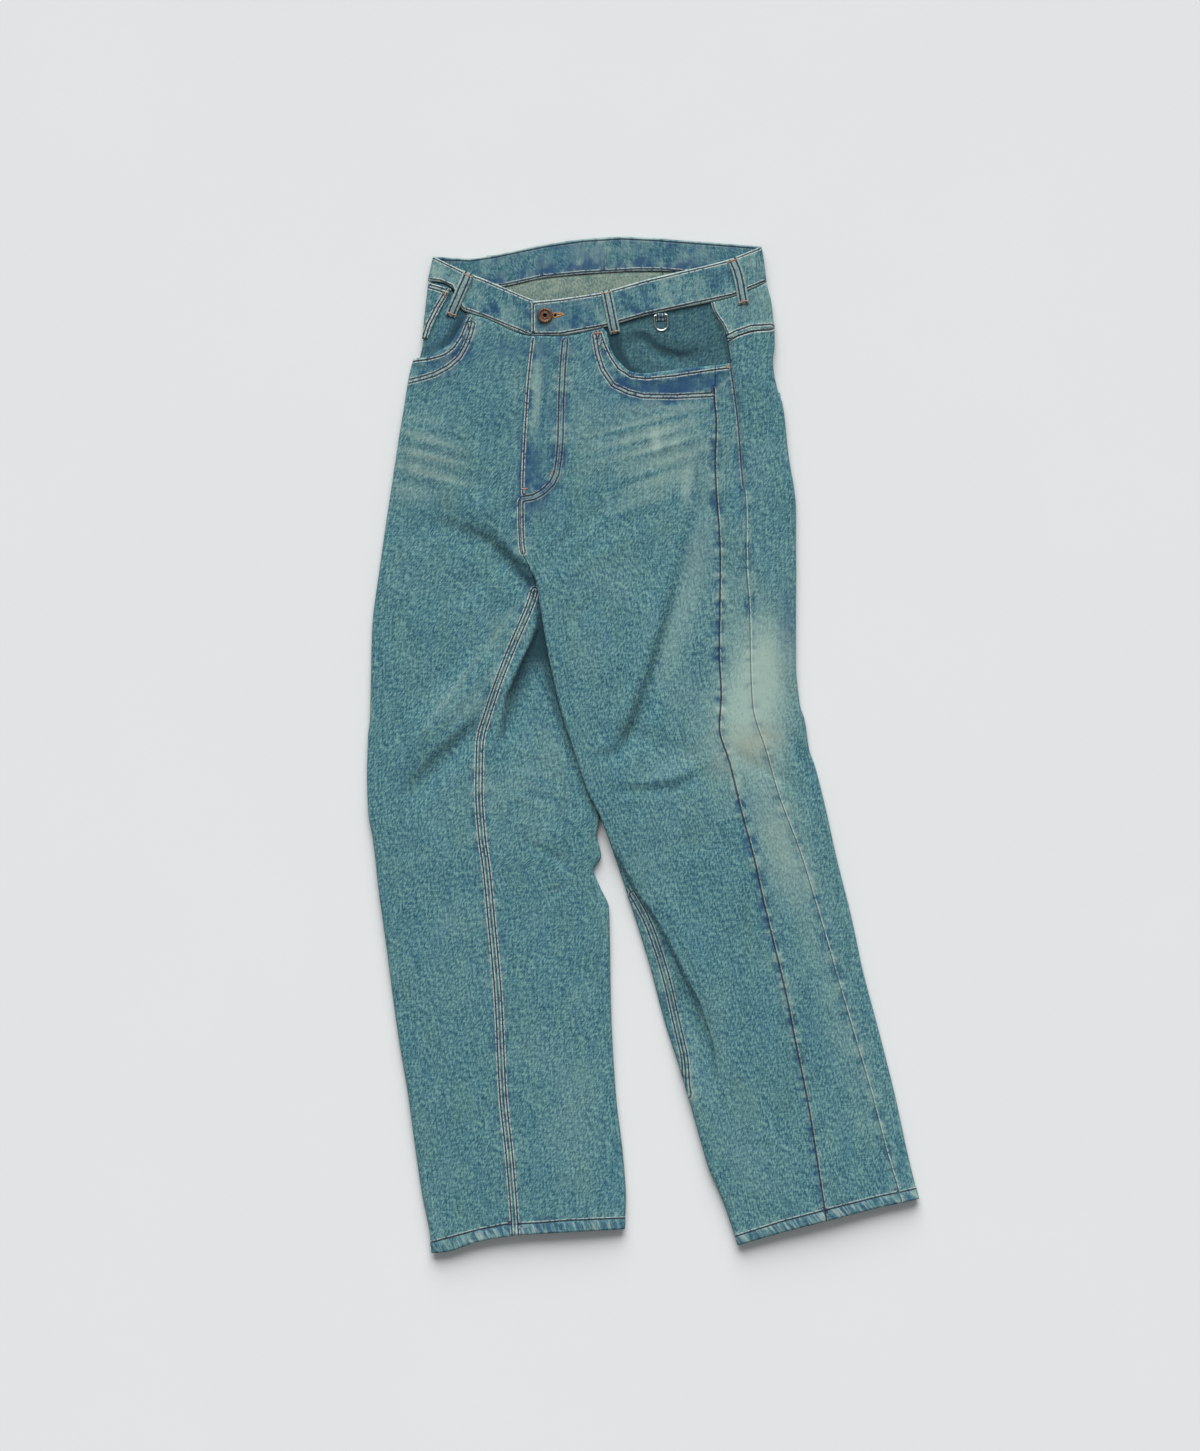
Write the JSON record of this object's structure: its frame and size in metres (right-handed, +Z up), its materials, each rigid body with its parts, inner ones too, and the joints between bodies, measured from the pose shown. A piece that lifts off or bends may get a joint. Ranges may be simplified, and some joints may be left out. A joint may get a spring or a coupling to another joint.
{
  "type": "wide leg jeans",
  "caption": "Wide leg denim jeans laid flat, front up, left leg partly over the right, with slanted pockets, front design seams, belt loops, waist button and a small hanging ring",
  "frame": {"origin": "middle of the outline, on the surface that the jeans lie on", "axes": "+X towards the wearer's left side, +Y towards the waist, +Z up, out of the front"},
  "size_m": [0.607, 1.118, 0.0203],
  "materials": {
    "denim": "washed twill",
    "button_metal": "copper coloured, dulled",
    "ring_metal": "nickel coloured, smooth"
  },
  "bodies": {
    "garment": {"front_right": "denim", "front_left": "denim", "side_right": "denim", "side_left": "denim", "back_right": "denim", "back_left": "denim", "yoke_right": "denim", "yoke_left": "denim", "waistband": "denim", "pocket_facing_right": "denim", "pocket_facing_left": "denim", "coin_pocket": "denim", "back_pocket_right": "denim", "back_pocket_left": "denim", "belt_loop_front_right": "denim", "belt_loop_front_left": "denim", "belt_loop_side_right": "denim", "belt_loop_side_left": "denim", "belt_loop_centre_back": "denim", "d_ring_tab": "denim", "button": "button_metal"},
    "ring": {"d_ring": "ring_metal"}
  },
  "joints": [
    {"name": "d_ring_swing", "type": "hinge", "parent": "garment", "child": "ring", "pos_m": [0.0194, 0.47225, 0.01586], "axis": [-0.9962, -0.0872, 0], "range_deg": [0, 120]}
  ]
}
